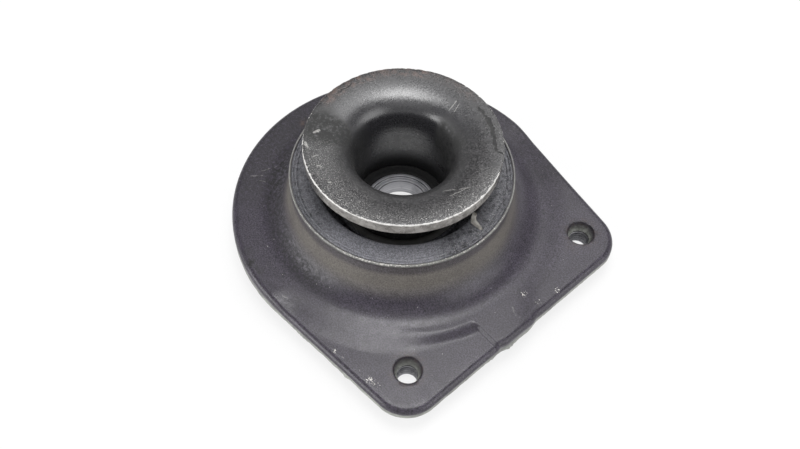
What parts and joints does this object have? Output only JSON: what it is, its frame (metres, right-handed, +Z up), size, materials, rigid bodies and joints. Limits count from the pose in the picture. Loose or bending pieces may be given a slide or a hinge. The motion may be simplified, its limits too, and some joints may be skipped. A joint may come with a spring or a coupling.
{
  "type": "strut mount",
  "caption": "Upper strut mount: corner-bolted flange with a raised bell, a bonded rubber element, and a trumpet stop dish with a ball bearing for the damper rod.",
  "frame": {"origin": "on the strut axis, in the plane of the plate's underside", "axes": "+Z up along the strut axis, +X towards the plate edge between the two bolt holes"},
  "size_m": [0.1501, 0.1426, 0.0564],
  "materials": {
    "flange_coat": "satin dark coat, scuffed",
    "nut_steel": "plain dark coat",
    "mount_rubber": "matte, speckled with dust",
    "dish_steel": "worn dark coat with a bare cut edge",
    "cup_steel": "plain dark coat",
    "bearing_steel": "ground steel",
    "seal_rubber": "smooth black",
    "cage_metal": "plain"
  },
  "bodies": {
    "housing": {"flange_housing": "flange_coat", "weld_nut_near": "nut_steel", "weld_nut_far": "nut_steel", "rubber_element": "mount_rubber"},
    "core": {"stop_dish": "dish_steel", "bearing_cup": "cup_steel", "bearing_outer_ring": "bearing_steel", "bearing_seal_upper": "seal_rubber", "bearing_seal_lower": "seal_rubber"},
    "inner_race": {"bearing_inner_ring": "bearing_steel"},
    "ball_set": {"ball_cage": "cage_metal", "bearing_ball_1": "bearing_steel", "bearing_ball_2": "bearing_steel", "bearing_ball_3": "bearing_steel", "bearing_ball_4": "bearing_steel", "bearing_ball_5": "bearing_steel", "bearing_ball_6": "bearing_steel", "bearing_ball_7": "bearing_steel", "bearing_ball_8": "bearing_steel", "bearing_ball_9": "bearing_steel", "bearing_ball_10": "bearing_steel", "bearing_ball_11": "bearing_steel", "bearing_ball_12": "bearing_steel"}
  },
  "joints": [
    {"name": "core_bounce", "type": "slide", "parent": "housing", "child": "core", "axis": [0, 0, 1], "range_m": [-0.005, 0.004], "stiffness_N_per_m": 200000, "deforming": ["rubber_element"]},
    {"name": "bearing_spin", "type": "hinge", "parent": "core", "child": "inner_race", "pos_m": [0, 0, 0.00515], "axis": [0, 0, 1], "continuous": true},
    {"name": "ball_orbit", "type": "hinge", "parent": "core", "child": "ball_set", "pos_m": [0, 0, 0.00515], "axis": [0, 0, 1], "continuous": true}
  ],
  "couplings": [
    {"joint": "ball_orbit", "follows": "bearing_spin", "ratio": 0.43333}
  ]
}
